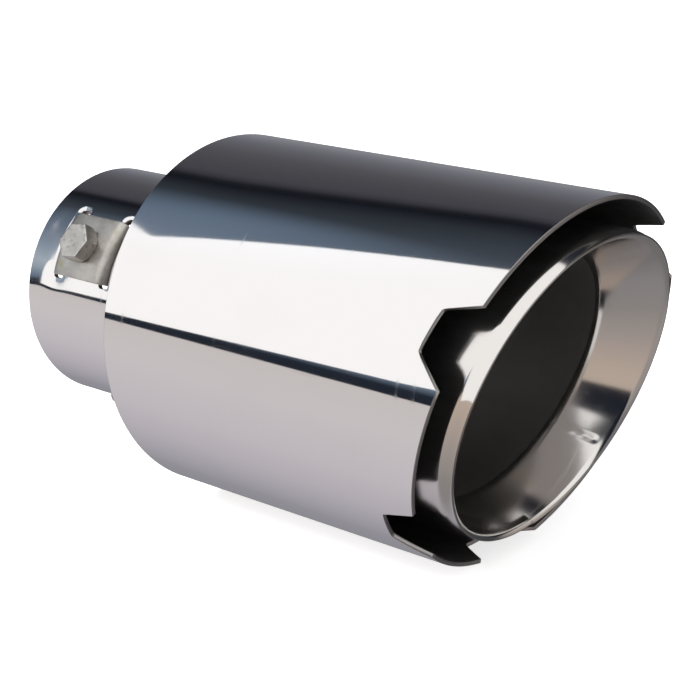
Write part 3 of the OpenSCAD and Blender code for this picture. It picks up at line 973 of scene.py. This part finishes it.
class TIP_OT_straps(Operator):
    """Build the three clamp straps: curved sheet, both ends folded through the collar's slots"""

    bl_idname = "exhaust_tip.straps"
    bl_label = "Clamp straps"

    def execute(self, context):
        s, c = settings().tip_collar, settings().tip_clamps
        top = s.radius + c.strap_lift + c.strap_wall
        tip = s.radius - s.wall + BORE_ROOM
        back, front = c.centre - c.strap_length / 2, c.centre + c.strap_length / 2
        bend, thin = c.strap_bend, c.strap_bend - c.strap_wall
        section = [(back, tip)] + arc_points(back + bend, top - bend, bend, 180, 90, 7)
        section += arc_points(front - bend, top - bend, bend, 90, 0, 7) + [(front, tip)]
        section += [(front - c.strap_wall, tip)] + arc_points(front - bend, top - bend, thin, 0, 90, 4)
        section += arc_points(back + bend, top - bend, thin, 90, 180, 4) + [(back + c.strap_wall, tip)]
        for number, place_of_clamp in enumerate(clamp_turns(c), 1):
            bm = bmesh.new()
            start = -c.strap_sweep / 2
            face = bm.faces.new([bm.verts.new(around(x, r, start)) for x, r in section])
            bmesh.ops.spin(
                bm, geom=[face, *face.edges, *face.verts], cent=(0, 0, 0), axis=(-1, 0, 0),
                angle=c.strap_sweep, steps=28, use_merge=False, use_duplicate=False,
            )
            bmesh.ops.recalc_face_normals(bm, faces=bm.faces)
            round_edges(bm, 50, STRAP_EDGE, 3, True)
            placed = Matrix.Rotation(place_of_clamp, 3, "X")
            bmesh.ops.rotate(bm, cent=(0, 0, 0), matrix=placed, verts=bm.verts)
            piece(bm, f"strap_{number}", ("strap",), "strap_steel", f"clamp_strap_{number}", sharp=40)
        return {"FINISHED"}


class TIP_OT_bolts(Operator):
    """Build the three clamp bolts: hexagon head, bevelled under it, and a shank down to the bore"""

    bl_idname = "exhaust_tip.bolts"
    bl_label = "Clamp bolts"

    def execute(self, context):
        s, c = settings().tip_collar, settings().tip_clamps
        seat = s.radius + c.strap_lift + c.strap_wall
        tip = s.radius - s.wall + BORE_ROOM
        shank = seat - tip
        flat, corner = c.flats / 2, c.flats / 2 / math.cos(math.radians(30))
        for number, place_of_clamp in enumerate(clamp_turns(c), 1):
            bm = bmesh.new()
            size = c.bolt / 2 - BOLT_END
            ring = bmesh.ops.create_circle(bm, cap_ends=False, segments=BOLT_STRIPS, radius=size)["verts"]
            edges = once(e for v in ring for e in v.link_edges)
            bmesh.ops.contextual_create(bm, geom=edges)

            def step(height, radius):
                """Extrudes the last ring to a height and a radius, which may depend on the angle."""
                nonlocal edges
                made = bmesh.ops.extrude_edge_only(bm, edges=edges)["geom"]
                edges = only(made, bmesh.types.BMEdge)
                for v in only(made, bmesh.types.BMVert):
                    a = math.atan2(v.co.y, v.co.x)
                    r = radius(a) if callable(radius) else radius
                    h = height(a) if callable(height) else height
                    v.co = Vector((r * math.cos(a), r * math.sin(a), h))

            def hexagon(a):
                """Radius of the head's hexagon at an angle."""
                return flat / math.cos(a % (math.pi / 3) - math.pi / 6)

            def edge_of_bevel(a):
                """Height at which the bevel meets the flat."""
                return shank + c.bevel * (hexagon(a) - flat) / (corner - flat)

            step(BOLT_END, c.bolt / 2)
            step(shank, c.bolt / 2)
            step(shank, flat * 0.97)
            step(shank, flat)
            step(edge_of_bevel, hexagon)
            for down, inset in HEAD_TOP:
                step(shank + c.head - down * MM, lambda a: hexagon(a) - inset * MM)
            bmesh.ops.contextual_create(bm, geom=edges)
            bmesh.ops.recalc_face_normals(bm, faces=bm.faces)
            place_at = (
                Matrix.Rotation(place_of_clamp, 4, "X") @ Matrix.Translation((c.centre, 0, tip))
                @ Matrix.Rotation(c.turn + (number - 1) * c.turn_step, 4, "Z")
            )
            bmesh.ops.transform(bm, matrix=place_at, verts=bm.verts)
            piece(bm, f"bolt_{number}", ("bolt",), "bolt_steel", f"clamp_bolt_{number}", sharp=28)
        return {"FINISHED"}


def emission(tree, strength, tone=(1, 1, 1)):
    """An Emission shader, white unless it is given a colour."""
    if not isinstance(tone, bpy.types.NodeSocket):
        tone = (*tone, 1)
    return put(tree, "ShaderNodeEmission", {"Color": tone, "Strength": strength}).outputs[0]


def mix_shader(tree, factor, first, second):
    """A Mix Shader's result."""
    return put(tree, "ShaderNodeMixShader", {0: factor, 1: first, 2: second}).outputs[0]


def emptied(data):
    """The cleared node tree of a new world or material."""
    data.use_nodes = True
    data.node_tree.nodes.clear()
    return data.node_tree


def rays(tree):
    """Whether the camera sees a surface, and whether polished steel does."""
    path = put(tree, "ShaderNodeLightPath").outputs
    return path["Is Camera Ray"], calc(tree, "MAXIMUM", path["Is Glossy Ray"], path["Is Transmission Ray"])


def studio_room(context):
    """The room: plain light for the floor, white for the camera, soft bands for the mirror polish."""
    studio = settings().tip_studio
    world = bpy.data.worlds.new("Studio room")
    tree = emptied(world)
    way = put(tree, "ShaderNodeTexCoord").outputs["Generated"]
    x, y, z = put(tree, "ShaderNodeSeparateXYZ", {0: way}).outputs
    rise = calc(tree, "ARCTAN2", z, calc(tree, "MULTIPLY", y, -1.0))
    drift = calc(tree, "MULTIPLY", spread(tree, x, -0.71, -0.60), math.radians(13))
    for low, high in ((1.3, 1.9), (2.75, 2.3)):
        drift = calc(tree, "MULTIPLY", drift, spread(tree, rise, low, high))
    above = calc(tree, "DIVIDE", calc(tree, "SUBTRACT", rise, drift), math.pi)
    below = calc(tree, "DIVIDE", calc(tree, "MULTIPLY", rise, -1.0), math.pi)
    upper = mix(tree, fade(tree, x, -0.25, 0.05), ramp(tree, above, ROOM_ABOVE), shown(26, 30, 40))
    upper = mix(tree, fade(tree, x, 0.33, 0.47), upper, ramp(tree, above, ROOM_CAMERA))
    warm = ramp(tree, below, ROOM_AHEAD)
    lower = mix(tree, fade(tree, x, -0.45, -0.30), ramp(tree, below, ROOM_BELOW), warm)
    for low, high, tone in ((0.36, 0.60, (158, 152, 149)), (0.78, 0.94, (120, 118, 120))):
        lower = mix(tree, fade(tree, x, low, high), lower, shown(*tone))
    mirrored = mix(tree, calc(tree, "GREATER_THAN", z, 0.0), lower, upper)
    camera, shine = rays(tree)
    lit = mix_shader(tree, shine, emission(tree, studio.level), emission(tree, studio.room_level, mirrored))
    seen = mix_shader(tree, camera, lit, emission(tree, 1.0))
    put(tree, "ShaderNodeOutputWorld", {"Surface": seen})
    context.scene.world = world


def floor_material():
    """Pale matt floor that shows white to the camera and keeps the tip's shadow."""
    studio = settings().tip_studio
    material = bpy.data.materials.new("Studio floor")
    tree = emptied(material)
    sockets = {"Color": (*studio.floor, 1), "Roughness": 0.6}
    matt = put(tree, "ShaderNodeBsdfDiffuse", sockets).outputs[0]
    lift = calc(tree, "MULTIPLY", calc(tree, "MAXIMUM", *rays(tree)), studio.floor_level)
    both = put(tree, "ShaderNodeAddShader", {0: matt, 1: emission(tree, lift)}).outputs[0]
    put(tree, "ShaderNodeOutputMaterial", {"Surface": both})
    return material


def card(name, rows, tone, strength, centre=None, reach=0):
    """A glowing card that only mirrors see. With a centre it is sheer, and its glow fades out from there."""
    bm = bmesh.new()
    edges = []
    for corners in rows:
        verts = [bm.verts.new(Vector(c) * MM) for c in corners]
        edges += [bm.edges.new(pair) for pair in zip(verts, verts[1:])]
    bmesh.ops.bridge_loops(bm, edges=edges)
    material = bpy.data.materials.new(name)
    tree = emptied(material)
    if centre:
        sockets = {0: put(tree, "ShaderNodeTexCoord").outputs["Object"], 1: Vector(centre) * MM}
        away = put(tree, "ShaderNodeVectorMath", sockets, operation="DISTANCE").outputs["Value"]
        glow = emission(tree, fade(tree, away, reach * MM, 0.0, strength), shown(*tone))
        sheer = put(tree, "ShaderNodeBsdfTransparent").outputs[0]
        surface = put(tree, "ShaderNodeAddShader", {0: glow, 1: sheer}).outputs[0]
    else:
        surface = emission(tree, strength, shown(*tone))
    put(tree, "ShaderNodeOutputMaterial", {"Surface": surface})
    made = new_object(bm, name, [material])
    made.visible_camera = False
    made.visible_diffuse = False
    made.visible_shadow = False


class TIP_OT_stage(Operator):
    """Set up the stage: floor, room, glowing cards, lamp and camera"""

    bl_idname = "exhaust_tip.stage"
    bl_label = "Stage"

    def execute(self, context):
        scene, studio = context.scene, settings().tip_studio
        scene.view_settings.view_transform = "Standard"
        studio_room(context)
        bm = bmesh.new()
        bmesh.ops.create_grid(bm, x_segments=1, y_segments=1, size=FLOOR_HALF)
        bmesh.ops.translate(bm, vec=(FLOOR_AT, 0, CAD_BOX[0].z - FLOOR_DROP), verts=bm.verts)
        floor = new_object(bm, "floor", [floor_material()])
        floor.visible_glossy = False
        card("softbox", SOFTBOX, WARM_WHITE, studio.box_level)
        card("rim_card", RIM_CARD, WARM_WHITE, studio.box_level)
        card("glow", GLOW, PALE_BLUE, GLOW_LEVEL, GLOW_AT, GLOW_REACH)
        lamp = bpy.data.lights.new("key", "AREA")
        lamp.shape = "RECTANGLE"
        lamp.size, lamp.size_y = KEY_SIZE
        lamp.energy = KEY_POWER
        key = bpy.data.objects.new("key", lamp)
        aim = Vector(KEY_WAY).to_track_quat("-Z", "Y").to_matrix().to_4x4()
        key.matrix_world = Matrix.Translation(KEY_AT) @ aim
        scene.collection.objects.link(key)
        key.visible_glossy = False
        camera = bpy.data.cameras.new("camera")
        camera.sensor_width = 36.0
        camera.lens = studio.camera_lens
        camera.clip_start, camera.clip_end = 0.01, 20.0
        eye = bpy.data.objects.new("camera", camera)
        turn = Matrix(CAMERA_WAYS).transposed().to_4x4()
        eye.matrix_world = Matrix.Translation(Vector(CAMERA_AT) * MM) @ turn
        scene.collection.objects.link(eye)
        scene.camera = eye
        return {"FINISHED"}


PIECES = (
    TIP_OT_shell, TIP_OT_liner, TIP_OT_collar, TIP_OT_end_ring, TIP_OT_welds, TIP_OT_straps, TIP_OT_bolts,
    TIP_OT_stage,
)
GROUPS_OF_SIZES = {
    "tip_shell": ShellSizes, "tip_liner": LinerSizes, "tip_collar": CollarSizes, "tip_clamps": ClampSizes,
    "tip_finishes": Finishes, "tip_studio": Studio,
}


class TIP_PT_panel(Panel):
    """Lists the tip's pieces, sizes and finishes"""

    bl_idname = "TIP_PT_panel"
    bl_label = "Exhaust tip"
    bl_space_type = "VIEW_3D"
    bl_region_type = "UI"
    bl_category = "Exhaust tip"

    def draw(self, context):
        for operator in PIECES:
            self.layout.operator(operator.bl_idname)
        for name in GROUPS_OF_SIZES:
            box = self.layout.box()
            values = getattr(context.scene, name)
            for field in values.__annotations__:
                box.prop(values, field)


def register():
    """Registers the classes and the scene's properties."""
    for made in (*GROUPS_OF_SIZES.values(), *PIECES, TIP_PT_panel):
        bpy.utils.register_class(made)
    for name, made in GROUPS_OF_SIZES.items():
        setattr(bpy.types.Scene, name, PointerProperty(type=made))


def unregister():
    """Takes the classes and the scene's properties away again."""
    for name in GROUPS_OF_SIZES:
        delattr(bpy.types.Scene, name)
    for made in reversed((*GROUPS_OF_SIZES.values(), *PIECES, TIP_PT_panel)):
        bpy.utils.unregister_class(made)


def main():
    """Builds the whole tip and its studio."""
    register()
    make_groups()
    make_metals()
    bpy.ops.exhaust_tip.shell()
    bpy.ops.exhaust_tip.liner()
    bpy.ops.exhaust_tip.collar()
    bpy.ops.exhaust_tip.end_ring()
    bpy.ops.exhaust_tip.welds()
    bpy.ops.exhaust_tip.straps()
    bpy.ops.exhaust_tip.bolts()
    bpy.ops.exhaust_tip.stage()


if __name__ == "__main__":
    main()
